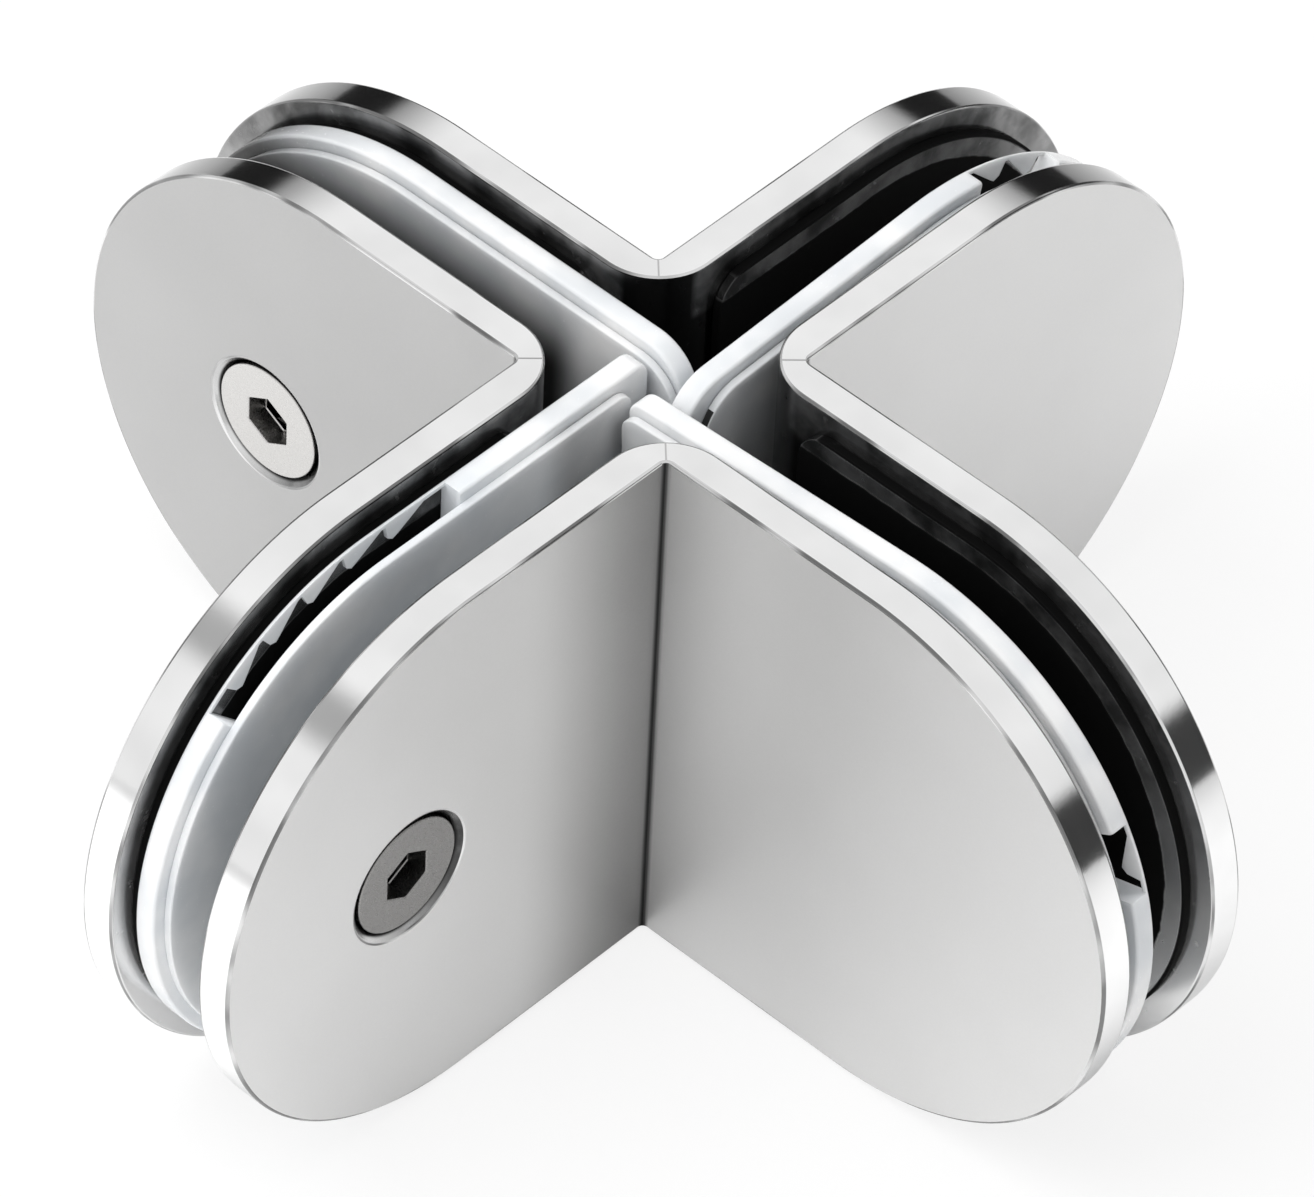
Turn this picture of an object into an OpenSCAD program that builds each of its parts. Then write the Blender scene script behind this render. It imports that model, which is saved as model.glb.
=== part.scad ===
// Four-way glass clamp: four angle plates stand round a cross of glass slots.
// Each arm of the cross holds one pane between two leaves, drawn together by one screw.
// The origin is where the mid-planes of the four slots cross, at half the height of the plates.
// The arms run along +X (right), +Y (back), -X (left) and -Y (front).

/* [Angle plates] */
// Height of the plates
plate_h = 50; // [44:1:70]
// Length of a leaf, from the hollow corner of the outer faces to its tip
leaf_len = 45; // [42:1:70]
// Thickness of the sheet
plate_t = 3; // [2.8:0.1:5]
// Fillet in the hollow corner between the outer faces
hollow_r = 0.5; // [0.3:0.1:3]
// Round of the corner that points to the centre of the cross
bend_r = 5.5; // [4.5:0.5:7]
// Bevel round the edge of the outer faces
bevel = 0.4; // [0.2:0.05:0.8]

/* [Glass slots] */
// Gap between two facing leaves
slot_w = 9; // [8.6:0.1:14]
// Thickness of a gasket
gasket_t = 0.8; // [0.5:0.1:1]
// How far the gasket beside a screw head stays back from the edge of its leaf
head_gasket_inset = 2.1; // [1:0.1:5]
// How far the gasket round a boss stays back from the edge of its leaf
boss_gasket_inset = 2.1; // [1:0.1:5]
// Radius of the gasket corners near the bend
gasket_r = 3; // [1:0.5:5]
// Bare strip of leaf between the bend and the gasket
gasket_start = 0.5; // [0.3:0.1:3]

/* [Spacer pads] */
// Thickness of a thick pad
thick_pad_t = 1.9; // [1.6:0.1:2.2]
// Thickness of a thin pad
thin_pad_t = 0.7; // [0.4:0.1:1]
// Play between a pad and what it lies against
pad_play = 0.05; // [0.05:0.05:0.2]
// How far the thick pads stay back from the edge of the leaf: right, back, left and front arm
pad_inset = [0.8, 0.6, 1.6, 1.6]; // [0.5:0.1:4]
// How much further back the rim of a thin pad stays
thin_pad_setback = 1; // [0:0.1:3]
// Droop of the inner end of the pads, for each arm, in degrees
pad_droop = [3, 3, 0, 0]; // [0:0.5:3]
// Radius of the pad corners near the centre, for each arm
pad_r = [1.5, 4, 4, 1.5]; // [1:0.5:6]
// Gap between the end of a thick pad and the pads that it points at
pad_end_gap = 0.4; // [0.3:0.1:1.5]
// How much sooner a thin pad ends than its thick one, for each arm
thin_pad_step = [0, 1.5, 0, 2.5]; // [0:0.1:4]
// How far the pads keep above the lower edge of the plates
pad_foot = 0.4; // [0.2:0.1:1]

/* [Toothed windows] */
// Start of the window, along the rim from the start of the round end, for each arm
window_from = [26, 6, 0, -8]; // [-8:1:27]
// End of the window, along the rim from the start of the round end, for each arm
window_to = [32, 16, 0, 18]; // [0:1:33]
// Depth of the window below the rim
window_depth = 5; // [3:0.5:6]
// Thickness of the wall that carries the teeth
tooth_wall = 0.35; // [0.25:0.05:0.5]
// Height of the band above the teeth
tooth_band = 0.35; // [0.2:0.05:1]
// Height of a tooth, with its band
tooth_h = 2; // [1.2:0.1:2.8]
// Spacing of the teeth
tooth_pitch = 4.4; // [2:0.1:6]

/* [Screws] */
// Distance from the tip of a leaf to its screw
screw_from_tip = 18.9; // [14:0.1:22]
// Diameter of the shank
screw_d = 6; // [5:0.5:6.5]
// How far the screw reaches into the boss
thread_grip = 5; // [3:0.5:5.5]
// Diameter of the head
head_d = 10.1; // [9:0.1:10.2]
// How far the head lies below the face of the leaf
head_recess = 0.25; // [0.1:0.05:0.4]
// Diameter of the countersink at the face of the leaf
sink_d = 11.6; // [11.2:0.1:11.8]
// Hexagon socket across its flats
socket_af = 4; // [3:0.5:5]
// Depth of the hexagon socket
socket_depth = 1.9; // [1.5:0.1:2.2]
// Turn of the sockets: right, back, left and front arm, in degrees
socket_turn = [20, 8, 0, 0]; // [0:1:60]

/* [Threaded bosses] */
// Diameter of a boss
boss_d = 10; // [9:0.5:12]
// Height of a boss above the inner face of its leaf
boss_len = 5; // [4.5:0.1:6]
// Room past the end of the screw in its blind hole
hole_room = 0.8; // [0.3:0.1:1]
// Radial play round the shank, and between a pad and its boss
hole_play = 0.3; // [0.1:0.05:0.5]
// Radial play of the screw in its thread
thread_play = 0.05; // [0.05:0.05:0.2]
// Bevel round the end of a boss
boss_bevel = 0.5; // [0.2:0.1:1]

/* [Hidden] */
$fn = 96;

// Pads with the thin one against the gasket, for each arm; the others have the thick one there.
thin_first = [true, true, false, false];
inner = slot_w / 2;                      // inner faces of the leaves
outer = inner + plate_t;                 // outer faces of the leaves
bend_end = inner + bend_r;               // where the flat of a leaf starts
nose_c = outer + leaf_len - plate_h / 2; // centre of the round end
screw_x = outer + leaf_len - screw_from_tip;
pad_face = inner - gasket_t - thick_pad_t - thin_pad_t - 2 * pad_play;
over = 1;                                // how far a cutter runs past what it cuts

// Turns a piece drawn on the right arm to arm number n.
module on_arm(n) {
    rotate([0, 0, 90 * n])
        children();
}

// Stands a flat outline on edge, from y to y + t across the slot.
module across(y, t) {
    translate([0, y + t, 0])
        rotate([90, 0, 0])
            linear_extrude(height = t)
                children();
}

// A round shape on the screw's axis that starts at y and runs towards +Y.
module on_screw(y, h, r1, r2) {
    translate([screw_x, y, 0])
        rotate([-90, 0, 0])
            cylinder(h = h, r1 = r1, r2 = r2);
}

// Outline of a gasket or pad, set back by inset from the leaf, from x = start to its round end.
module leaf_outline(inset, start, r) {
    h = plate_h / 2 - inset;
    translate([nose_c, 0])
        intersection() {
            circle(r = h);
            translate([0, -h])
                square([h, 2 * h]);
        }
    translate([start + r, -h])
        square([nose_c - start - r, 2 * h]);
    translate([start, r - h])
        square([r, 2 * (h - r)]);
    for (side = [0, 1])
        mirror([0, side])
            translate([start + r, h - r])
                intersection() {
                    circle(r = r);
                    translate([-r, 0])
                        square(r);
                }
}

// A quarter of the plan, from its rounded corner at [at, at] outwards.
module quarter(at, r, reach) {
    translate([at + r, at])
        square([reach, reach + r]);
    translate([at, at + r])
        square([reach + r, reach]);
    translate([at + r, at + r])
        circle(r = r);
}

// One flat leaf along +X, bevelled round its outer face: a half-round nose and a straight strip.
module leaf() {
    half = plate_h / 2;
    translate([nose_c, 0, 0])
        rotate([-90, 0, 0])
            intersection() {
                rotate_extrude()
                    polygon([
                        [0, inner], [half, inner], [half, outer - bevel],
                        [half - bevel, outer], [0, outer]
                    ]);
                translate([0, -half - over, inner - over])
                    cube([half + over, plate_h + 2 * over, plate_t + 2 * over]);
            }
    translate([bend_end, 0, 0])
        rotate([90, 0, 90])
            linear_extrude(height = nose_c - bend_end)
                polygon([
                    [inner, -half], [outer - bevel, -half], [outer, bevel - half],
                    [outer, half - bevel], [outer - bevel, half], [inner, half]
                ]);
}

// The bevel of the hollow corner at the top edge, with its cutters run past the edge.
module hollow_bevel() {
    translate([outer + hollow_r, outer + hollow_r, plate_h / 2 - bevel])
        cylinder(h = bevel + over, r1 = hollow_r, r2 = hollow_r + bevel + over);
    for (side = [0, 1])
        mirror([side, -side, 0])
            translate([outer + hollow_r, 0, plate_h / 2])
                rotate([90, 0, 90])
                    linear_extrude(height = bend_r)
                        polygon([
                            [outer - bevel - over, over], [outer, -bevel],
                            [outer + hollow_r, -bevel], [outer + hollow_r, over]
                        ]);
}

// The bend between two leaves.
module bend() {
    difference() {
        translate([0, 0, -plate_h / 2])
            linear_extrude(height = plate_h)
                difference() {
                    intersection() {
                        quarter(inner, bend_r, bend_r);
                        square(bend_end);
                    }
                    quarter(outer, hollow_r, bend_r);
                }
        for (side = [0, 1])
            mirror([0, 0, side])
                hollow_bevel();
    }
}

// An angle plate. Its leaf along +X takes the screw head, the one along +Y has the boss.
module angle_plate() {
    sink_depth = sink_d / 2 - screw_d / 2 - hole_play;
    blind = thread_grip + hole_room;
    color("gainsboro")
        difference() {
            union() {
                bend();
                leaf();
                mirror([1, -1, 0])
                    leaf();
                on_arm(1) {
                    on_screw(-inner, boss_len - boss_bevel, boss_d / 2, boss_d / 2);
                    on_screw(boss_len - inner - boss_bevel, boss_bevel,
                             boss_d / 2, boss_d / 2 - boss_bevel);
                }
            }
            on_screw(inner - over, plate_t + 2 * over,
                     screw_d / 2 + hole_play, screw_d / 2 + hole_play);
            on_screw(outer - sink_depth, sink_depth, screw_d / 2 + hole_play, sink_d / 2);
            on_arm(1)
                on_screw(boss_len - inner - blind, blind + over,
                         screw_d / 2 + thread_play, screw_d / 2 + thread_play);
        }
}

// A gasket from y to y + gasket_t, with a hole of radius hole_r for what passes through it.
module gasket(y, inset, hole_r) {
    color([0.07, 0.07, 0.07])
        across(y, gasket_t)
            difference() {
                leaf_outline(inset, bend_end + gasket_start, gasket_r);
                translate([screw_x, 0])
                    circle(r = hole_r);
            }
}

module head_gasket() {
    gasket(inner - gasket_t, head_gasket_inset, screw_d / 2 + hole_play);
}

module boss_gasket() {
    gasket(-inner, boss_gasket_inset, boss_d / 2 + hole_play);
}

// Radius of the round end of a thick pad.
function rim_r(arm) = plate_h / 2 - pad_inset[arm];

// A pad's outline grown by grow, with its inner end at x = start.
module pad_shape(arm, grow, start) {
    leaf_outline(pad_inset[arm] - grow, start, pad_r[arm]);
}

// Where the outline of a pad starts so that its drooped inner end keeps clear of the next arm.
function pad_start(arm) =
    round(100 * (pad_end_gap - pad_face + (rim_r(arm) - pad_r[arm]) * sin(pad_droop[arm]))) / 100;

// A pad's outline with the hole for its boss. Its lower edge keeps above the edge of the plates.
module pad_outline(arm, grow, step) {
    intersection() {
        drooped(arm)
            difference() {
                pad_shape(arm, grow, pad_start(arm) + step);
                translate([screw_x, 0])
                    circle(r = boss_d / 2 + hole_play);
            }
        translate([-plate_h, pad_foot - plate_h / 2])
            square([3 * plate_h, 2 * plate_h]);
    }
}

// Turns a pad about its screw by its droop.
module drooped(arm) {
    translate([screw_x, 0])
        rotate(pad_droop[arm])
            translate([-screw_x, 0])
                children();
}

// Angle at the centre of the round end for a length along the rim.
function rim_angle(arm, s) = s / rim_r(arm) * 180 / PI;

// The stretch of an arm between two places on the rim.
module rim_span(arm, s0, s1) {
    reach = 2 * plate_h;
    if (s0 < 0)
        translate([nose_c + s0, 0])
            square([-s0, reach]);
    translate([nose_c, 0])
        polygon([
            [0, 0],
            [reach * sin(rim_angle(arm, max(s0, 0))), reach * cos(rim_angle(arm, max(s0, 0)))],
            [reach * sin(rim_angle(arm, s1)), reach * cos(rim_angle(arm, s1))]
        ]);
}

// Moves a shape drawn below the origin to place s on the rim.
module at_rim(arm, s) {
    if (s < 0)
        translate([nose_c + s, rim_r(arm)])
            children();
    else
        translate([nose_c, 0])
            rotate(-rim_angle(arm, s))
                translate([0, rim_r(arm)])
                    children();
}

// The window in the rim of a thick pad, as it is cut.
module window(arm) {
    intersection() {
        rim_span(arm, window_from[arm], window_to[arm]);
        difference() {
            pad_shape(arm, over, 0);
            pad_shape(arm, -window_depth, 0);
        }
    }
}

// The band under the rim with its row of saw teeth. It runs past the ends of the window.
module toothed_band(arm) {
    s0 = window_from[arm];
    s1 = window_to[arm];
    count = floor((s1 - s0) / tooth_pitch);
    edge = (s1 - s0 - count * tooth_pitch) / 2;
    difference() {
        pad_shape(arm, 2 * over, 0);
        pad_shape(arm, -tooth_band, 0);
    }
    for (i = [0 : 1 : count - 1])
        at_rim(arm, s0 + edge + (i + 0.5) * tooth_pitch)
            polygon([
                [-0.45 * tooth_pitch, -tooth_band / 2], [0.45 * tooth_pitch, -tooth_band / 2],
                [0.4 * tooth_pitch, -0.8 * tooth_h], [0.28 * tooth_pitch, -tooth_h],
                [0.16 * tooth_pitch, -0.9 * tooth_h]
            ]);
}

// A thick pad. Its window goes right through, but for a toothed wall on the face of the pad
// that is turned away from the thin one.
module thick_pad(arm) {
    y = thin_first[arm] ? -pad_face - thick_pad_t : gasket_t + pad_play - inner;
    color("whitesmoke")
        difference() {
            across(y, thick_pad_t)
                pad_outline(arm, 0, 0);
            if (window_to[arm] > window_from[arm]) {
                across(thin_first[arm] ? y - over : y + tooth_wall,
                       thick_pad_t - tooth_wall + over)
                    drooped(arm)
                        window(arm);
                across(y - 2 * over, thick_pad_t + 4 * over)
                    drooped(arm)
                        difference() {
                            window(arm);
                            toothed_band(arm);
                        }
            }
        }
}

module thin_pad(arm) {
    y = thin_first[arm] ? gasket_t + pad_play - inner : -pad_face - thin_pad_t;
    color("whitesmoke")
        across(y, thin_pad_t)
            pad_outline(arm, -thin_pad_setback, thin_pad_step[arm]);
}

// A countersunk screw with its head towards +Y.
module screw(arm) {
    top = outer - head_recess;
    rim = (sink_d - head_d) / 2 - head_recess - thread_play;
    cone = (head_d - screw_d) / 2;
    tip = boss_len - inner - thread_grip;
    chamfer = screw_d / 12;
    color("silver")
        difference() {
            translate([screw_x, 0, 0])
                rotate([-90, 0, 0])
                    rotate_extrude()
                        polygon([
                            [0, tip], [screw_d / 2 - chamfer, tip],
                            [screw_d / 2, tip + chamfer], [screw_d / 2, top - rim - cone],
                            [head_d / 2, top - rim], [head_d / 2, top], [0, top]
                        ]);
            translate([screw_x, top + over, 0])
                rotate([90, socket_turn[arm], 0])
                    rotate([0, 0, 30])
                        cylinder(h = socket_depth + over, d = socket_af / cos(30), $fn = 6);
            on_screw(top - socket_depth - socket_af / 6, socket_af / 6, 0, socket_af / 2);
        }
}

on_arm(0) angle_plate();  // back_right_plate
on_arm(1) angle_plate();  // back_left_plate
on_arm(2) angle_plate();  // front_left_plate
on_arm(3) angle_plate();  // front_right_plate

on_arm(0) head_gasket();  // right_head_gasket
on_arm(1) head_gasket();  // back_head_gasket
on_arm(2) head_gasket();  // left_head_gasket
on_arm(3) head_gasket();  // front_head_gasket

on_arm(0) boss_gasket();  // right_boss_gasket
on_arm(1) boss_gasket();  // back_boss_gasket
on_arm(2) boss_gasket();  // left_boss_gasket
on_arm(3) boss_gasket();  // front_boss_gasket

on_arm(0) thick_pad(0);  // right_thick_pad
on_arm(1) thick_pad(1);  // back_thick_pad
on_arm(2) thick_pad(2);  // left_thick_pad
on_arm(3) thick_pad(3);  // front_thick_pad

on_arm(0) thin_pad(0);  // right_thin_pad
on_arm(1) thin_pad(1);  // back_thin_pad
on_arm(2) thin_pad(2);  // left_thin_pad
on_arm(3) thin_pad(3);  // front_thin_pad

on_arm(0) screw(0);  // right_screw
on_arm(1) screw(1);  // back_screw
on_arm(2) screw(2);  // left_screw
on_arm(3) screw(3);  // front_screw
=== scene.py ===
"""The looks of a four-way glass clamp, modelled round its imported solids.

Lengths are written in millimetres and turned into metres as a mesh is made. Each piece is modelled
on the right arm, which runs along +X with its screw head towards +Y, and is then turned about the
middle of the cross to its own arm.
"""
import math

import bmesh
import bpy
from mathutils import Matrix, Vector


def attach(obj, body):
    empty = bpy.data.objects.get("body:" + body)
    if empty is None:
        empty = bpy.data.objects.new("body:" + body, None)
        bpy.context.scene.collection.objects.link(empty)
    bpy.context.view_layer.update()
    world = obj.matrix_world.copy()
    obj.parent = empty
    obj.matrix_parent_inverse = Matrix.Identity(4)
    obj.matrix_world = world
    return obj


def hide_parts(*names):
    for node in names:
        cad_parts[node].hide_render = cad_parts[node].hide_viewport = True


MM = 0.001
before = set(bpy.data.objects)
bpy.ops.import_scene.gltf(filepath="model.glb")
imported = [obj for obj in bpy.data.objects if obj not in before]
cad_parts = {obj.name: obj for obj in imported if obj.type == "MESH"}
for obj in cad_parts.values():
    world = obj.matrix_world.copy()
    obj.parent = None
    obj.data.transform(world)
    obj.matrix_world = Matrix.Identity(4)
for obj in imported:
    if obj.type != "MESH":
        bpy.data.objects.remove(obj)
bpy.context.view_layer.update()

# ---------------------------------------------------------------- sizes of the pieces
PLATE_H = 50.0
PLATE_T = 3.0
LEAF_LEN = 45.0
HOLLOW_R = 0.5
BEND_R = 5.5
SLOT_W = 9.0
SCREW_FROM_TIP = 18.9
INNER = SLOT_W / 2
OUTER = INNER + PLATE_T
TIP = OUTER + LEAF_LEN
BEND_END = INNER + BEND_R
NOSE_C = TIP - PLATE_H / 2
SCREW_X = TIP - SCREW_FROM_TIP

GASKET_T = 0.8
GASKET_INSET = 2.1
GASKET_OFF_BEND = 0.5
GASKET_R = 3.0
THICK_PAD_T = 1.9
THIN_PAD_T = 0.7
PAD_PLAY = 0.05
THIN_PAD_SETBACK = 1.0
PAD_END_GAP = 0.4
PAD_FOOT = 0.4
PAD_FACE = INNER - GASKET_T - THICK_PAD_T - THIN_PAD_T - 2 * PAD_PLAY

WINDOW_DEPTH = 5.0
TOOTH_WALL = 0.35
TOOTH_BAND = 0.35
TOOTH_H = 2.0
TOOTH_PITCH = 4.4

HEAD_D = 10.1
SINK_D = 11.6
HEAD_RECESS = 0.25
SCREW_D = 6.0
SOCKET_AF = 4.0
SOCKET_DEPTH = 1.9
BOSS_D = 10.0
BOSS_LEN = 5.0
THREAD_GRIP = 5.0
HOLE_ROOM = 0.8
HOLE_PLAY = 0.3
THREAD_PLAY = 0.05

PLATE_SOFTENED = 0.24
GASKET_SOFTENED = 0.12
SCREW_SOFTENED = 0.14
PAD_SOFTENED = 0.05

# Where the painted shade, sheen, reflections and glow change: how far they reach from the hollow
# corner, the start of the nose, the edge of a leaf or the bottom of a window, and where along an
# arm they start and are full.
HOLLOW_SHADE = 15.0
HOLLOW_SHEEN = 18.0
NOSE_BRIGHT = 12.0
NOSE_DARK = 7.0
STEEL_LOOK_STRIP = 3.8
WINDOW_SHADE = 1.2
ARM_FROM = 8.0
ARM_FULL = 12.0

# What differs from arm to arm: right, back, left and front.
ARMS = ("right", "back", "left", "front")
PLATES = ("back_right", "back_left", "front_left", "front_right")
THIN_FIRST = (True, True, False, False)
PAD_INSET = (0.8, 0.6, 1.6, 1.6)
PAD_DROOP = (3.0, 3.0, 0.0, 0.0)
PAD_R = (1.5, 4.0, 4.0, 1.5)
THIN_PAD_STEP = (0.0, 1.5, 0.0, 2.5)
WINDOWS = ((26.0, 32.0), (6.0, 16.0), None, (-8.0, 18.0))
SOCKET_TURN = (20.0, 8.0, 0.0, 0.0)


# ---------------------------------------------------------------- shader maths
class Sock:
    """A node's output. Used in an expression, it adds the Math nodes that the expression needs."""

    def __init__(self, tree, out):
        self.tree = tree
        self.out = out

    def _math(self, operation, *values):
        return self.tree.node("ShaderNodeMath", {"operation": operation}, *values)

    def __add__(self, other):
        return self._math("ADD", self, other)

    def __radd__(self, other):
        return self._math("ADD", other, self)

    def __sub__(self, other):
        return self._math("SUBTRACT", self, other)

    def __rsub__(self, other):
        return self._math("SUBTRACT", other, self)

    def __mul__(self, other):
        return self._math("MULTIPLY", self, other)

    def __rmul__(self, other):
        return self._math("MULTIPLY", other, self)

    def __abs__(self):
        return self._math("ABSOLUTE", self)


class Tree:
    """The nodes of one material or world."""

    def __init__(self, owner):
        owner.use_nodes = True
        self.nodes = owner.node_tree.nodes
        self.links = owner.node_tree.links
        self.nodes.clear()

    def node(self, kind, settings, *values, out=0, **named):
        """Adds a node: its settings, its sockets by order or by name, and the output to use."""
        made = self.nodes.new(kind)
        for key, value in settings.items():
            if key == "stops":
                ramp = made.color_ramp
                while len(ramp.elements) < len(value):
                    ramp.elements.new(0.5)
                for element, (place, shade) in zip(ramp.elements, value):
                    element.position = place
                    element.color = (*shade, 1.0)
            else:
                setattr(made, key, value)
        wanted = list(enumerate(values))
        wanted += [(key.replace("_", " "), value) for key, value in named.items()]
        for key, value in wanted:
            target = made.inputs[key]
            if isinstance(value, Sock):
                self.links.new(value.out, target)
            elif target.type == "RGBA" and len(value) == 3:
                target.default_value = (*value, 1.0)
            else:
                target.default_value = value
        return Sock(self, made.outputs[out]) if made.outputs else None

    def place(self):
        """The place on the piece, in millimetres."""
        at = self.node("ShaderNodeTexCoord", {}, out=3)
        return self.node("ShaderNodeVectorMath", {"operation": "SCALE"}, at, Scale=1 / MM)

    def axes(self, vector):
        """The x, y and z of a vector."""
        split = self.node("ShaderNodeSeparateXYZ", {}, vector).out.node
        return [Sock(self, out) for out in split.outputs]

    def noise(self, at, scale, detail=4.0, rough=0.55, stretch=(1, 1, 1)):
        """Noise from 0 to 1 that changes over about 1 / scale millimetres."""
        at = self.node("ShaderNodeMapping", {}, at, Scale=stretch)
        return self.node("ShaderNodeTexNoise", {}, Vector=at, Scale=scale, Detail=detail,
                         Roughness=rough)

    def larger(self, *values):
        return self.node("ShaderNodeMath", {"operation": "MAXIMUM"}, *values)

    def smaller(self, *values):
        return self.node("ShaderNodeMath", {"operation": "MINIMUM"}, *values)

    def ease(self, value, low, high, start=0.0, end=1.0):
        """Goes smoothly from start to end as the value goes from low to high."""
        return self.node("ShaderNodeMapRange", {"interpolation_type": "SMOOTHSTEP"},
                         value, low, high, start, end)

    def blend(self, factor, first, second):
        """A colour between two others."""
        mix = self.nodes.new("ShaderNodeMix")
        mix.data_type = "RGBA"
        for socket, value in zip((mix.inputs[0], mix.inputs[6], mix.inputs[7]),
                                 (factor, first, second)):
            if isinstance(value, Sock):
                self.links.new(value.out, socket)
            else:
                socket.default_value = value if isinstance(value, float) else (*value, 1.0)
        return Sock(self, mix.outputs[2])

    def bump(self, height, millimetres, strength=1.0):
        return self.node("ShaderNodeBump", {}, Strength=strength, Distance=millimetres * MM,
                         Height=height)

    def finish(self, **sockets):
        shader = self.node("ShaderNodeBsdfPrincipled", {}, **sockets)
        self.node("ShaderNodeOutputMaterial", {}, shader)


def grey(value):
    """A grey from 0, black, to 1, white."""
    return (value, value, value)


def new_material(name):
    """A new material, and the tree of its nodes."""
    material = bpy.data.materials.new(name)
    return material, Tree(material)


# ---------------------------------------------------------------- finishes, with painted light and shade
def satin_face():
    """Fine satin steel of the big outer faces.

    Painted light and shade: beside the hollow corner of the front right plate, painted shade
    darkens the leaf along -Y and a painted sheen brightens the leaf along +X. A painted shade line
    runs down the hollow, and painted shading darkens the faces towards -X and towards the top.
    """
    material, t = new_material("satin_face")
    at = t.place()
    grain = t.noise(at, 1.0, 5.0, 0.7, (2.0, 2.0, 14.0))
    speck = t.noise(at, 7.0, 2.0)
    cloud = t.noise(at, 0.05, 2.0)
    x, y, z = t.axes(at)
    far = t.larger(abs(x), abs(y))
    # Painted shade: a dark line down the hollow corner.
    corner = t.ease(far, OUTER + 0.2, OUTER + 0.6, 0.06, 1.0)
    lean = abs(y) - abs(x)
    along_y = t.ease(lean, -0.01, 0.01)
    # Painted shade on the leaf along -Y and a painted sheen on the leaf along +X, near the hollow.
    shade = (along_y * t.ease(lean, 0.0, HOLLOW_SHADE, 0.64, 0.0)
             - (1.0 - along_y) * t.ease(lean, -HOLLOW_SHEEN, 0.0, 0.0, 0.22))
    shade = shade * t.ease(x, -1.0, 1.0) * t.ease(y, -1.0, 1.0, 1.0, 0.0)
    # Painted shading: darker towards -X and towards the top.
    painted_light_falloff = t.ease(x, -12.0, 7.0, 0.50, 0.72) * t.ease(z, -22.0, 20.0, 1.06, 0.94)
    tone = (painted_light_falloff * (1.0 - shade) + (grain - 0.5) * 0.04
            + (speck - 0.5) * 0.04 + (cloud - 0.5) * 0.08) * corner
    t.finish(Base_Color=t.blend(tone, grey(0.0), (1.0, 0.998, 0.994)), Metallic=1.0,
             Roughness=0.42 + (grain - 0.5) * 0.10 + (speck - 0.5) * 0.06,
             Normal=t.bump(grain + speck, 0.003, 0.3))
    return material


def polished_rim():
    """Buffed edge of a plate, with a fine line across its corner.

    The noses of the left and back arms carry a painted dark reflection on top.
    """
    material, t = new_material("polished_rim")
    at = t.place()
    x, y, z = t.axes(at)
    buffing = t.noise(at, 0.35, 3.0)
    seam = t.ease(abs(abs(x) - abs(y)), 0.03, 0.15, 1.0, 0.0)
    far = t.larger(-1.0 * x, y)
    # Painted dark reflection on top of the noses of the left and back arms.
    painted_dark_reflection = t.ease(far, NOSE_C, NOSE_C + NOSE_DARK) * t.ease(z, 2.0, 10.0)
    streak = t.noise(at, 0.16, 2.0)
    steel = t.blend(painted_dark_reflection, t.blend(streak, grey(0.80), grey(1.0)), grey(0.24))
    t.finish(Base_Color=t.blend(seam * 0.6, steel, grey(0.30)), Metallic=1.0,
             Roughness=0.11 + (buffing - 0.5) * 0.06,
             Normal=t.bump(buffing * 0.5 - seam, 0.03, 0.5))
    return material


def broken_edge():
    """The fine bevels round a plate, bright in some stretches and dark in others."""
    material, t = new_material("broken_edge")
    # Painted reflections: the bright and dark stretches of the bevels are painted at random.
    patch = t.ease(t.noise(t.place(), 0.09, 2.0), 0.42, 0.58)
    t.finish(Base_Color=t.blend(patch, grey(0.20), grey(0.75)), Metallic=1.0, Roughness=0.2)
    return material


def slot_steel(t, at, far, z):
    """Colour and roughness of the slot sides: steel painted dark as shade, with painted smoky
    reflections, dusty scuffs and a painted bright reflection low on the noses.
    """
    dust = t.ease(t.noise(at, 0.5, 8.0, 0.72), 0.56, 0.80)
    # Painted smoky reflections in the dark steel.
    painted_smoky_reflection = t.ease(t.noise(at, 0.22, 4.0), 0.35, 0.65, 0.05, 0.24)
    # Painted bright reflection low on the noses.
    painted_nose_reflection = t.ease(far, NOSE_C, NOSE_C + NOSE_BRIGHT) * t.ease(z, -10.0, 20.0, 1.0, 0.0)
    steel = t.blend(painted_smoky_reflection, grey(0.0), grey(1.0))
    steel = t.blend(painted_nose_reflection, t.blend(dust * 0.4, steel, grey(0.45)), grey(0.85))
    return steel, 0.20 + dust * 0.3


def slot_face():
    """Inner side of a leaf, in steel painted dark as shade. Painted shadow makes it black low down
    in the bend and in the sink.
    """
    material, t = new_material("slot_face")
    at = t.place()
    x, y, z = t.axes(at)
    far = t.larger(abs(x), abs(y))
    near = t.smaller(abs(x), abs(y))
    depth = z + (t.noise(at, 0.4, 3.0) - 0.5) * 1.2
    # Painted shadow: black below the top of the bend, steel near the top and past the bend.
    lit = t.ease(depth, 20.0, 21.2) + t.ease(far, BEND_END + 0.5, BEND_END + 3.5)
    below_top = t.ease(near, OUTER - 0.5, OUTER - 0.3, 1.0, 0.0)
    # Painted shade: black down the countersink, below its top rim.
    painted_sink_shade = t.ease(near, INNER + 0.1, INNER + 0.3) * below_top
    shown = t.smaller(lit, 1.0) * (1.0 - painted_sink_shade)
    steel, rough = slot_steel(t, at, far, z)
    t.finish(Base_Color=t.blend(shown, grey(0.01), steel), Metallic=0.9, Roughness=rough)
    return material


def shaded_plastic():
    """The bottom of a pad's window, which gets no light."""
    material, t = new_material("shaded_plastic")
    t.finish(Base_Color=grey(0.01), Roughness=0.6)
    return material


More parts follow.
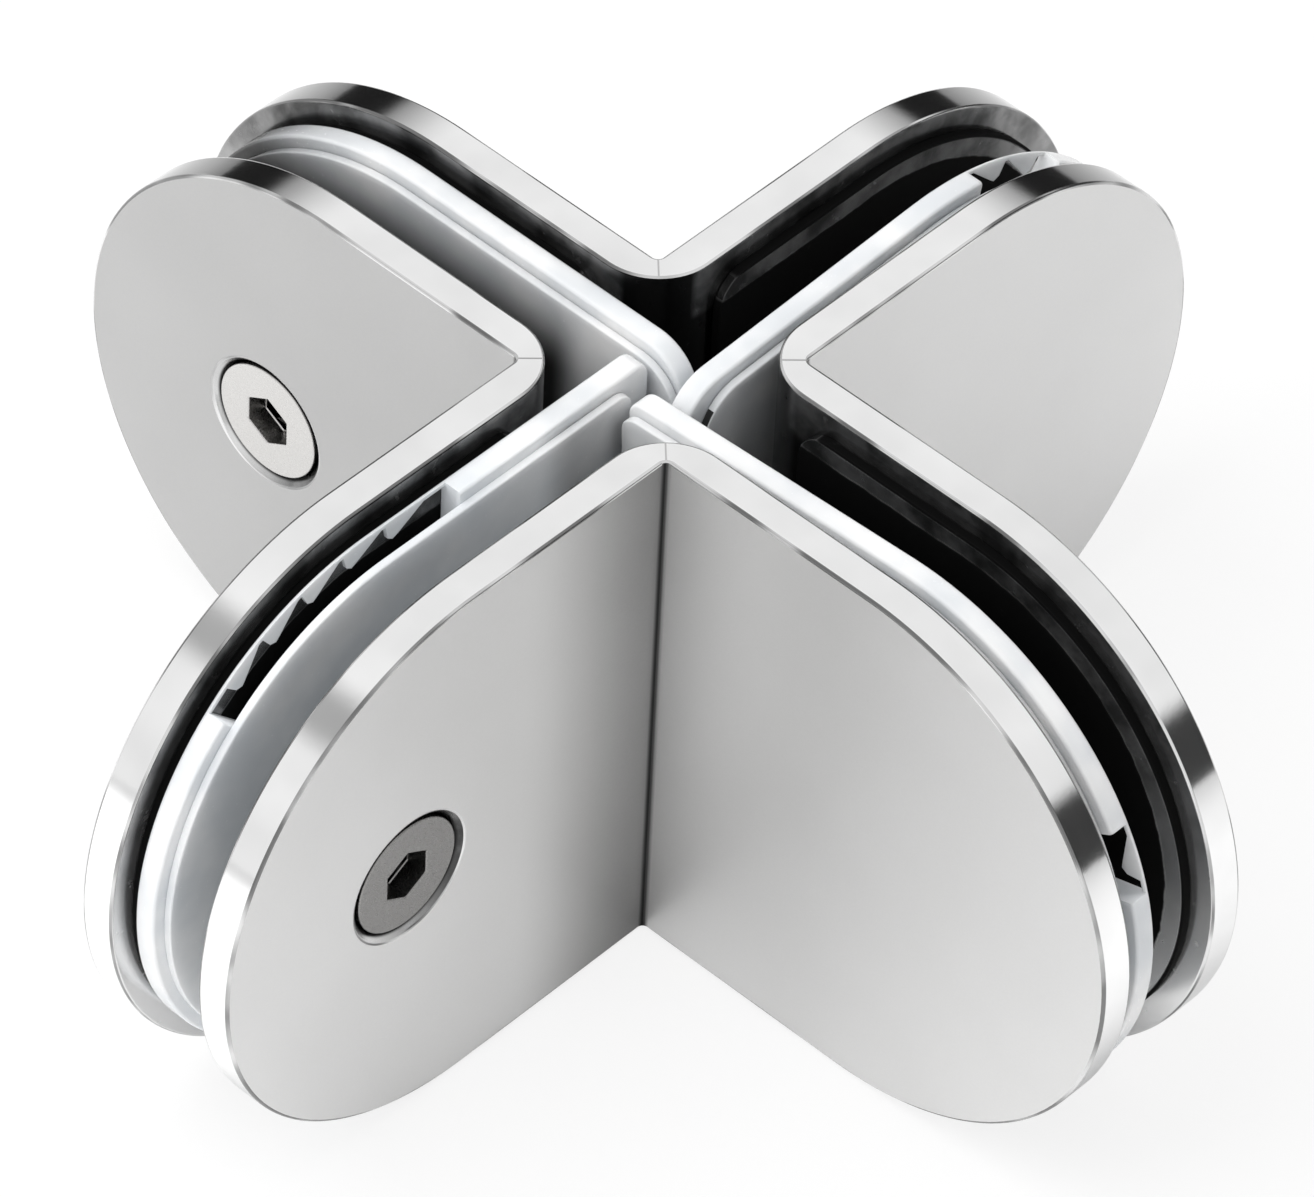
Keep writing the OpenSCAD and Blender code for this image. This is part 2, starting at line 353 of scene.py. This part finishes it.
def black_rubber():
    """Black rubber, whose outer margin is painted with the look of the steel beside it, painted
    reflections included.
    """
    material, t = new_material("black_rubber")
    at = t.place()
    x, y, z = t.axes(at)
    far = t.larger(abs(x), abs(y))
    half = PLATE_H / 2
    across = t.node("ShaderNodeCombineXYZ", {}, t.larger(far - NOSE_C, 0.0), z)
    reach = t.node("ShaderNodeVectorMath", {"operation": "LENGTH"}, across, out=1)
    ragged = reach + (t.noise(at, 0.6, 3.0) - 0.5) * 0.4
    # The margin is painted as the slot steel, with its painted reflections.
    margin = (t.ease(ragged, half - STEEL_LOOK_STRIP - 0.3, half - STEEL_LOOK_STRIP)
              * t.ease(reach, half - GASKET_INSET - 0.4, half - GASKET_INSET - 0.2, 1.0, 0.0))
    steel, rough = slot_steel(t, at, far, z)
    fine = t.noise(at, 5.0, 5.0, 0.6)
    dust = t.ease(t.noise(at, 0.9, 7.0, 0.7), 0.62, 0.85)
    rubber = t.blend(dust * 0.4, grey(0.003), grey(0.05))
    t.finish(Base_Color=t.blend(margin, rubber, steel), Metallic=margin * 0.9,
             Roughness=0.75 + margin * (rough - 0.75), Specular_IOR_Level=0.06,
             Normal=t.bump(fine, 0.01, 0.4))
    return material


def white_plastic():
    """Smooth moulded pads, a little cool and waxy.

    Painted shade darkens the pads of the left arm downwards, and a painted glow lights those of
    the front arm faintly. Painted soft blue-grey shade lies in random patches.
    """
    material, t = new_material("white_plastic")
    at = t.place()
    x, y, z = t.axes(at)
    flow_and_painted_shade = t.noise(at, 0.10, 3.0)
    fine = t.noise(at, 3.0, 4.0, 0.6)
    # Painted shadow: the pads of the left arm darken downwards.
    shade = t.ease(x, -ARM_FULL, -ARM_FROM, 1.0, 0.0) * t.ease(z, 15.0, 24.0, 1.0, 0.0)
    # Painted soft blue-grey shade in random patches.
    tone = t.blend(t.ease(flow_and_painted_shade, 0.35, 0.7), (0.62, 0.64, 0.66), grey(0.80))
    # Painted glow on the pads of the front arm.
    glow = t.blend(t.ease(y, -ARM_FULL, -ARM_FROM), (0.86, 0.92, 0.97), grey(0.0))
    t.finish(Base_Color=t.blend(shade, tone, grey(0.03)),
             Roughness=0.26 + (fine - 0.5) * 0.08, Subsurface_Weight=0.6,
             Subsurface_Radius=(1.0, 1.0, 1.0), Subsurface_Scale=2 * MM,
             Emission_Color=glow, Emission_Strength=0.10, Normal=t.bump(flow_and_painted_shade, 0.05, 0.3))
    return material


def screw_steel():
    """Plain turned steel. The head on the front arm has painted shade."""
    material, t = new_material("screw_steel")
    at = t.place()
    x, y, z = t.axes(at)
    grain = t.noise(at, 9.0, 5.0, 0.6)
    # Painted shade: the head on the front arm is darker.
    tone = t.ease(y, -30.0, -ARM_FULL, 0.27, 0.62) + (grain - 0.5) * 0.06
    t.finish(Base_Color=t.blend(tone, grey(0.0), (1.0, 0.985, 0.965)),
             Metallic=1.0, Roughness=0.28 + (grain - 0.5) * 0.12,
             Normal=t.bump(grain, 0.004, 0.3))
    return material


SATIN = satin_face()
POLISHED = polished_rim()
EDGE_STEEL = broken_edge()
SHADED_SLOT_STEEL = slot_face()
RUBBER = black_rubber()
PLASTIC = white_plastic()
SHADED_PLASTIC = shaded_plastic()
SCREW_STEEL = screw_steel()


# ---------------------------------------------------------------- modelling by hand
def only(*pieces):
    """Selects just these objects, with the first one active, in object mode."""
    if bpy.context.mode != "OBJECT":
        bpy.ops.object.mode_set(mode="OBJECT")
    bpy.ops.object.select_all(action="DESELECT")
    for piece in pieces:
        piece.select_set(True)
    bpy.context.view_layer.objects.active = pieces[0]


def settle(piece):
    """Puts the object's place, turn and scale into its mesh."""
    only(piece)
    bpy.ops.object.transform_apply(location=True, rotation=True, scale=True)
    return piece


def edit(piece):
    """Opens a piece for work on its mesh."""
    only(piece)
    bpy.ops.object.mode_set(mode="EDIT")


def leave(piece):
    """Goes back to object mode."""
    bpy.ops.object.mode_set(mode="OBJECT")
    return piece


def pick(piece, kind, test):
    """In edit mode, selects each vertex, edge or face that passes a test of it and its middle."""
    bpy.ops.mesh.select_mode(type=kind)
    bpy.ops.mesh.select_all(action="DESELECT")
    mesh = bmesh.from_edit_mesh(piece.data)
    for each in {"VERT": mesh.verts, "EDGE": mesh.edges, "FACE": mesh.faces}[kind]:
        if kind == "VERT":
            middle = each.co
        elif kind == "EDGE":
            middle = (each.verts[0].co + each.verts[1].co) / 2
        else:
            middle = each.calc_center_median()
        each.select_set(bool(test(each, middle / MM)))
    mesh.select_flush_mode()
    bmesh.update_edit_mesh(piece.data)


def draw_out(y):
    """Extrudes the selected faces along Y."""
    bpy.ops.mesh.extrude_region_move(TRANSFORM_OT_translate={"value": (0, y * MM, 0)})


def face_outwards():
    bpy.ops.mesh.select_all(action="SELECT")
    bpy.ops.mesh.remove_doubles(threshold=1e-6)
    bpy.ops.mesh.normals_make_consistent(inside=False)


def join(piece, other):
    only(piece, other)
    bpy.ops.object.join()
    return piece


def carve(piece, tool, operation="DIFFERENCE"):
    """Cuts the tool out of a piece, or with UNION adds it, and throws the tool away."""
    only(piece)
    change = piece.modifiers.new("carve", "BOOLEAN")
    change.operation = operation
    change.solver = "EXACT"
    change.object = tool
    bpy.ops.object.modifier_apply(modifier=change.name)
    bpy.data.objects.remove(tool)
    return piece


def soften(piece, width, segments=3, angle=35.0):
    """Rounds the sharp edges and keeps the flats looking flat."""
    only(piece)
    bpy.ops.object.shade_smooth_by_angle(angle=math.radians(angle))
    rounding = piece.modifiers.new("soften", "BEVEL")
    rounding.width = width * MM
    rounding.segments = segments
    rounding.limit_method = "ANGLE"
    rounding.angle_limit = math.radians(angle)
    rounding.harden_normals = True
    rounding.use_clamp_overlap = False
    bpy.ops.object.modifier_apply(modifier=rounding.name)
    return piece


def round_bar(y0, y1, radius, end_radius=None, sides=96, turn=0.0):
    """A bar or cone round the screw's axis, from y0 to y1."""
    end_radius = radius if end_radius is None else end_radius
    bpy.ops.mesh.primitive_cone_add(
        vertices=sides, radius1=radius * MM, radius2=end_radius * MM, depth=(y1 - y0) * MM)
    bar = bpy.context.active_object
    bar.data.transform(Matrix.Rotation(math.radians(turn), 4, "Z"))
    bar.data.transform(Matrix.Rotation(math.radians(-90), 4, "X"))
    bar.data.transform(Matrix.Translation(Vector((SCREW_X, (y0 + y1) / 2, 0)) * MM))
    return bar


def leaf_sheet(name, inset, start, corner, y, sides=160):
    """The flat outline of a leaf: a half round with a straight strip drawn out of it."""
    half = PLATE_H / 2 - inset
    bpy.ops.mesh.primitive_circle_add(
        vertices=sides, radius=half * MM, fill_type="NGON",
        location=(NOSE_C * MM, y * MM, 0), rotation=(math.radians(90), 0, 0))
    sheet = settle(bpy.context.active_object)
    sheet.name = name
    edit(sheet)
    bpy.ops.mesh.select_all(action="SELECT")
    bpy.ops.mesh.bisect(plane_co=(NOSE_C * MM, 0, 0), plane_no=(-1, 0, 0), clear_outer=True,
                        threshold=1e-6)
    pick(sheet, "EDGE", lambda edge, at: abs(at.x - NOSE_C) < 0.01)
    bpy.ops.mesh.extrude_edges_move(
        TRANSFORM_OT_translate={"value": ((start - NOSE_C) * MM, 0, 0)})
    if corner > 0:
        pick(sheet, "VERT", lambda vert, at: abs(at.x - start) < 0.01)
        bpy.ops.mesh.bevel(offset=corner * MM, segments=12, affect="VERTICES")
    return leave(sheet)


def thicken(sheet, thickness):
    """Draws a flat sheet out along Y to a closed solid."""
    edit(sheet)
    bpy.ops.mesh.select_mode(type="FACE")
    bpy.ops.mesh.select_all(action="SELECT")
    bpy.ops.mesh.dissolve_faces()
    bpy.ops.mesh.select_all(action="SELECT")
    draw_out(thickness)
    face_outwards()
    return leave(sheet)


def turn_to(piece, arm):
    """Turns a piece from the right arm to another one."""
    piece.data.transform(Matrix.Rotation(math.radians(90 * arm), 4, "Z"))
    return piece


def coat(piece, *materials):
    """Gives a bare piece its materials."""
    for material in materials:
        piece.data.materials.append(material)
    return piece


def dress(piece, node):
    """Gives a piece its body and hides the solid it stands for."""
    piece.data.name = piece.name
    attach(piece, "root")
    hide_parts(node)
    return piece


def copy_of(piece, name):
    """A copy with its own mesh."""
    only(piece)
    bpy.ops.object.duplicate()
    made = bpy.context.active_object
    made.name = name
    return made


# ---------------------------------------------------------------- angle plates
def plate_skin(name, face, corner):
    """One side of a plate: a leaf with half the bend spun off its end, and its mirror copy."""
    centre = face + corner
    skin = leaf_sheet(name, 0.0, centre, 0.0, face)
    edit(skin)
    pick(skin, "EDGE", lambda edge, at: abs(at.x - centre) < 0.001)
    bpy.ops.mesh.spin(steps=8, angle=math.radians(45), center=(centre * MM, centre * MM, 0),
                      axis=(0, 0, 1))
    leave(skin)
    other = copy_of(skin, "other_leaf")
    other.scale = (1, -1, 1)
    other.rotation_euler = (0, 0, math.radians(90))
    settle(other)
    join(skin, other)
    edit(skin)
    bpy.ops.mesh.select_all(action="SELECT")
    bpy.ops.mesh.remove_doubles(threshold=1e-6)
    return leave(skin)


def plate_blank():
    """The bent plate with its countersunk hole and its threaded boss."""
    plate = plate_skin("plate", OUTER, HOLLOW_R)
    join(plate, plate_skin("slot_side", INNER, BEND_R))
    edit(plate)
    pick(plate, "EDGE", lambda edge, at: edge.is_boundary)
    bpy.ops.mesh.bridge_edge_loops()
    face_outwards()
    leave(plate)
    bore = SCREW_D / 2 + HOLE_PLAY
    carve(plate, round_bar(INNER - 1, OUTER, bore))
    carve(plate, round_bar(OUTER - (SINK_D / 2 - bore), OUTER + 1, bore, SINK_D / 2 + 1))
    carve(plate, turn_to(round_bar(-INNER - 1, BOSS_LEN - INNER, BOSS_D / 2), 1), "UNION")
    carve(plate, turn_to(round_bar(BOSS_LEN - INNER - THREAD_GRIP - HOLE_ROOM,
                                   BOSS_LEN - INNER + 1, SCREW_D / 2 + THREAD_PLAY), 1))
    return soften(plate, PLATE_SOFTENED)


def paint_plate(plate):
    """Satin outer faces, steel painted dark as shade on the slot side and black in the sink,
    polish on the rim, bevels with painted bright and dark reflections.
    """
    for face in plate.data.polygons:
        x, y, z = face.center / MM
        along = face.normal
        on_leaf = max(x, y)
        across = along.y if x > y else along.x
        in_hollow = min(x, y) > OUTER - 0.01 and on_leaf < OUTER + HOLLOW_R
        satin = (on_leaf > OUTER and along.x > 0.98 and abs(x - OUTER) < 0.02) or (
            on_leaf > OUTER and along.y > 0.98 and abs(y - OUTER) < 0.02) or (
            in_hollow and abs(along.z) < 0.3)
        slot_side = min(along.x, along.y) < -0.6 and abs(along.z) < 0.3 and (
            min(x, y) < INNER + 0.02 or on_leaf < BEND_END)
        from_screw = math.hypot(x - SCREW_X, z)
        sink = from_screw < SINK_D / 2 + 0.2 and y > INNER
        bevel = abs(across) > 0.15 or (on_leaf < BEND_END and 0.15 < abs(along.z) < 0.95)
        if satin:
            face.material_index = 0
        elif sink:
            # Inside the sink the faces take the slot steel, whose painted shade makes them black.
            face.material_index = 2 if from_screw < SINK_D / 2 - 0.1 else 3
        elif slot_side:
            face.material_index = 2
        else:
            face.material_index = 3 if bevel else 1


blank = coat(plate_blank(), SATIN, POLISHED, SHADED_SLOT_STEEL, EDGE_STEEL)
paint_plate(blank)
for arm, corner in enumerate(PLATES):
    plate = turn_to(copy_of(blank, corner + "_angle_plate"), arm)
    dress(plate, corner + "_plate")
bpy.data.objects.remove(blank)


# ---------------------------------------------------------------- gaskets
def gasket(name, y, hole_r):
    sheet = leaf_sheet(name, GASKET_INSET, BEND_END + GASKET_OFF_BEND, GASKET_R, y)
    carve(thicken(sheet, GASKET_T), round_bar(y - 1, y + GASKET_T + 1, hole_r))
    return coat(soften(sheet, GASKET_SOFTENED), RUBBER)


head_gasket = gasket("head_gasket", INNER - GASKET_T, SCREW_D / 2 + HOLE_PLAY)
boss_gasket = gasket("boss_gasket", -INNER, BOSS_D / 2 + HOLE_PLAY)
for arm, side in enumerate(ARMS):
    for kind, made in (("head", head_gasket), ("boss", boss_gasket)):
        strip = turn_to(copy_of(made, f"{side}_{kind}_side_gasket"), arm)
        dress(strip, f"{side}_{kind}_gasket")
bpy.data.objects.remove(head_gasket)
bpy.data.objects.remove(boss_gasket)


# ---------------------------------------------------------------- spacer pads
def droop(piece, arm):
    """Turns a pad, or a tool for it, about the screw of its arm."""
    pivot = Matrix.Translation((SCREW_X * MM, 0, 0))
    turn = Matrix.Rotation(math.radians(-PAD_DROOP[arm]), 4, "Y")
    piece.data.transform(pivot @ turn @ pivot.inverted())
    return piece


def rim_line(start, end, above, steps=24):
    """Points along the rim from start to end."""
    return [(start + (end - start) * i / steps, above) for i in range(steps + 1)]


def rim_prism(arm, outline, y0, y1):
    """A solid whose outline is given along and above the rim of a thick pad."""
    rim_r = PLATE_H / 2 - PAD_INSET[arm]
    corners = []
    for along, above in outline:
        angle = max(along, 0.0) / rim_r
        reach = rim_r + above
        corners.append((NOSE_C + min(along, 0.0) + reach * math.sin(angle), y0,
                        reach * math.cos(angle)))
    mesh = bpy.data.meshes.new("rim_prism")
    mesh.from_pydata([Vector(corner) * MM for corner in corners], [],
                     [list(range(len(corners)))])
    prism = bpy.data.objects.new("rim_prism", mesh)
    bpy.context.collection.objects.link(prism)
    edit(prism)
    bpy.ops.mesh.select_all(action="SELECT")
    draw_out(y1 - y0)
    face_outwards()
    return droop(leave(prism), arm)


def tooth(middle):
    """The lower edge of one saw tooth, along and above the rim."""
    shape = ((-0.45, -TOOTH_BAND), (0.16, -0.9 * TOOTH_H), (0.28, -TOOTH_H),
             (0.40, -0.8 * TOOTH_H), (0.45, -TOOTH_BAND))
    return [(middle + at * TOOTH_PITCH, above) for at, above in shape]


def cut_window(pad, arm, y):
    """Cuts the window through the rim of a thick pad, and leaves its thin toothed wall."""
    start, end = WINDOWS[arm]
    bottom = rim_line(end, start, -WINDOW_DEPTH)
    wall_y = y + THICK_PAD_T - TOOTH_WALL if THIN_FIRST[arm] else y
    open_y = y - 1 if THIN_FIRST[arm] else y + TOOTH_WALL
    room = rim_prism(arm, rim_line(start, end, 1.0) + bottom, open_y,
                     open_y + THICK_PAD_T + 1 - TOOTH_WALL)
    count = math.floor((end - start) / TOOTH_PITCH)
    edge = (end - start - count * TOOTH_PITCH) / 2
    teeth = [(start, -TOOTH_BAND)]
    for i in range(count):
        teeth += tooth(start + edge + (i + 0.5) * TOOTH_PITCH)
    teeth.append((end, -TOOTH_BAND))
    through = rim_prism(arm, teeth + bottom, wall_y - 1, wall_y + TOOTH_WALL + 1)
    carve(pad, room)
    return carve(pad, through)


def pad(name, arm, y, thickness, setback, step):
    """A pad of one arm; step is how much sooner than the thick pad it ends."""
    reach = PLATE_H / 2 - PAD_INSET[arm] - PAD_R[arm]
    start = PAD_END_GAP - PAD_FACE + reach * math.sin(math.radians(PAD_DROOP[arm])) + step
    sheet = leaf_sheet(name, PAD_INSET[arm] + setback, start, PAD_R[arm], y)
    edit(droop(sheet, arm))
    bpy.ops.mesh.select_all(action="SELECT")
    bpy.ops.mesh.bisect(plane_co=(0, 0, (PAD_FOOT - PLATE_H / 2) * MM), plane_no=(0, 0, -1),
                        clear_outer=True, threshold=1e-6)
    made = thicken(leave(sheet), thickness)
    carve(made, round_bar(y - 1, y + thickness + 1, BOSS_D / 2 + HOLE_PLAY))
    coat(soften(made, PAD_SOFTENED + 0.12 * thickness), PLASTIC, SHADED_PLASTIC)
    if setback == 0 and WINDOWS[arm]:
        cut_window(made, arm, y)
        only(made)
        bpy.ops.object.shade_smooth_by_angle(angle=math.radians(35))
    # Painted shade: the faces at the bottom of a window take the black shaded plastic.
    bottom = PLATE_H / 2 - PAD_INSET[arm] - WINDOW_DEPTH
    for face in made.data.polygons:
        x, y, z = face.center / MM
        depth = bottom - (z if x < NOSE_C else math.hypot(x - NOSE_C, z))
        in_painted_window_shade = z > 0 and abs(depth) < WINDOW_SHADE and abs(face.normal.y) < 0.3
        face.material_index = 1 if in_painted_window_shade else 0
    return turn_to(made, arm)


for arm, side in enumerate(ARMS):
    by_gasket = GASKET_T + PAD_PLAY - INNER
    thick_y = -PAD_FACE - THICK_PAD_T if THIN_FIRST[arm] else by_gasket
    thin_y = by_gasket if THIN_FIRST[arm] else -PAD_FACE - THIN_PAD_T
    thick = pad(side + "_thick_spacer_pad", arm, thick_y, THICK_PAD_T, 0.0, 0.0)
    dress(thick, side + "_thick_pad")
    thin = pad(side + "_thin_spacer_pad", arm, thin_y, THIN_PAD_T, THIN_PAD_SETBACK,
               THIN_PAD_STEP[arm])
    dress(thin, side + "_thin_pad")


# ---------------------------------------------------------------- screws
def taper(y, radius_ratio):
    """Extrudes the selected round end along Y and changes its radius."""
    draw_out(y)
    bpy.ops.transform.resize(value=(radius_ratio, 1, radius_ratio),
                             center_override=(SCREW_X * MM, 0, 0))


def clamp_screw(name, turn):
    """A countersunk screw with a hexagon socket, corner up where turn is 0."""
    top = OUTER - HEAD_RECESS
    rim = (SINK_D - HEAD_D) / 2 - HEAD_RECESS - THREAD_PLAY
    cone = (HEAD_D - SCREW_D) / 2
    tip = BOSS_LEN - INNER - THREAD_GRIP
    chamfer = SCREW_D / 12
    made = round_bar(top - rim, top, HEAD_D / 2, sides=128)
    made.name = name
    edit(made)
    pick(made, "FACE", lambda face, at: face.normal.y < -0.9)
    taper(-cone, SCREW_D / HEAD_D)
    taper(-(top - rim - cone - tip - chamfer), 1.0)
    taper(-chamfer, 1 - 2 * chamfer / SCREW_D)
    face_outwards()
    leave(made)
    corner_r = SOCKET_AF / 2 / math.cos(math.radians(30))
    carve(made, round_bar(top - SOCKET_DEPTH, top + 1, corner_r, sides=6, turn=turn))
    carve(made, round_bar(top - SOCKET_DEPTH - SOCKET_AF / 6, top - SOCKET_DEPTH + 0.01,
                          0.05, SOCKET_AF / 2, sides=48))
    return coat(soften(made, SCREW_SOFTENED), SCREW_STEEL)


for arm, side in enumerate(ARMS):
    screw = turn_to(clamp_screw(side + "_clamp_screw", SOCKET_TURN[arm]), arm)
    dress(screw, side + "_screw")


# ---------------------------------------------------------------- floor, light and camera
def pale_floor():
    """A wide white floor that keeps a faint shadow."""
    material, t = new_material("pale_floor")
    path = t.node("ShaderNodeLightPath", {}).out.node
    seen = Sock(t, path.outputs["Is Camera Ray"])
    matt = t.node("ShaderNodeBsdfDiffuse", {}, Color=grey(0.88))
    glow = t.node("ShaderNodeEmission", {}, Color=grey(1.0), Strength=1.0)
    mixed = t.node("ShaderNodeMixShader", {}, seen * 0.8, matt, glow)
    t.node("ShaderNodeOutputMaterial", {}, mixed)
    below = PLATE_H / 2 + 0.2
    bpy.ops.mesh.primitive_plane_add(size=8.0, location=(0, 0, -below * MM))
    floor = bpy.context.active_object
    floor.name = "floor"
    floor.data.materials.append(material)


def soft_sky():
    """An even white sky for the metal to reflect, with a dark band low behind and a grey patch."""
    world = bpy.data.worlds.new("soft_sky")
    bpy.context.scene.world = world
    t = Tree(world)
    path = t.node("ShaderNodeLightPath", {}).out.node
    direction = t.node("ShaderNodeTexCoord", {}, out=0)
    x, y, z = t.axes(direction)
    low = t.ease(abs(z - 0.14), 0.18, 0.28, 1.0, 0.0)
    behind = t.ease(y, 0.1, 0.45)
    patch = (-0.46, -0.44, 0.77)
    from_patch = t.node("ShaderNodeVectorMath", {"operation": "DISTANCE"}, direction, patch, out=1)
    cloud = t.noise(direction, 1.6, 2.0)
    sky = ((0.90 + (cloud - 0.5) * 0.30) * (1.0 - 0.95 * (low * behind))
           * t.ease(from_patch, 0.06, 0.24, 0.45, 1.0))
    shade = t.blend(Sock(t, path.outputs["Is Camera Ray"]),
                    t.blend(sky, grey(0.0), grey(1.0)), grey(1.0))
    light = t.node("ShaderNodeBackground", {}, Color=shade, Strength=1.0)
    t.node("ShaderNodeOutputWorld", {}, light)


def soft_lamp(name, azimuth, elevation, watts, size):
    """A square soft lamp half a metre out, aimed at the middle, that no metal reflects."""
    a, e = math.radians(azimuth), math.radians(elevation)
    out = Vector((math.sin(a) * math.cos(e), -math.cos(a) * math.cos(e), math.sin(e)))
    bpy.ops.object.light_add(type="AREA", location=out * 0.5)
    lamp = bpy.context.active_object
    lamp.name = name
    lamp.data.energy = watts
    lamp.data.size = size
    lamp.visible_glossy = False
    lamp.rotation_euler = out.to_track_quat("Z", "Y").to_euler()


def add_camera(azimuth, elevation, roll, distance, target, lens):
    """A camera aimed at the target, in degrees, and millimetres."""
    a, e = math.radians(azimuth), math.radians(elevation)
    back = Vector((math.sin(a) * math.cos(e), -math.cos(a) * math.cos(e), math.sin(e)))
    bpy.ops.object.camera_add(location=(Vector(target) + back * distance) * MM)
    camera = bpy.context.active_object
    camera.data.sensor_width = 36.0
    camera.data.lens = lens
    camera.data.clip_start = 0.01
    turn = Matrix.Rotation(math.radians(roll), 4, back)
    camera.rotation_euler = (turn @ back.to_track_quat("Z", "Y").to_matrix().to_4x4()).to_euler()
    bpy.context.scene.camera = camera


pale_floor()
soft_sky()
soft_lamp("overhead_lamp", azimuth=330, elevation=60, watts=2.0, size=0.4)
add_camera(azimuth=41.376, elevation=45.374, roll=2.891, distance=776.9,
           target=(0.45, 0.27, -0.05), lens=282.0)
bpy.context.scene.view_settings.view_transform = "Standard"
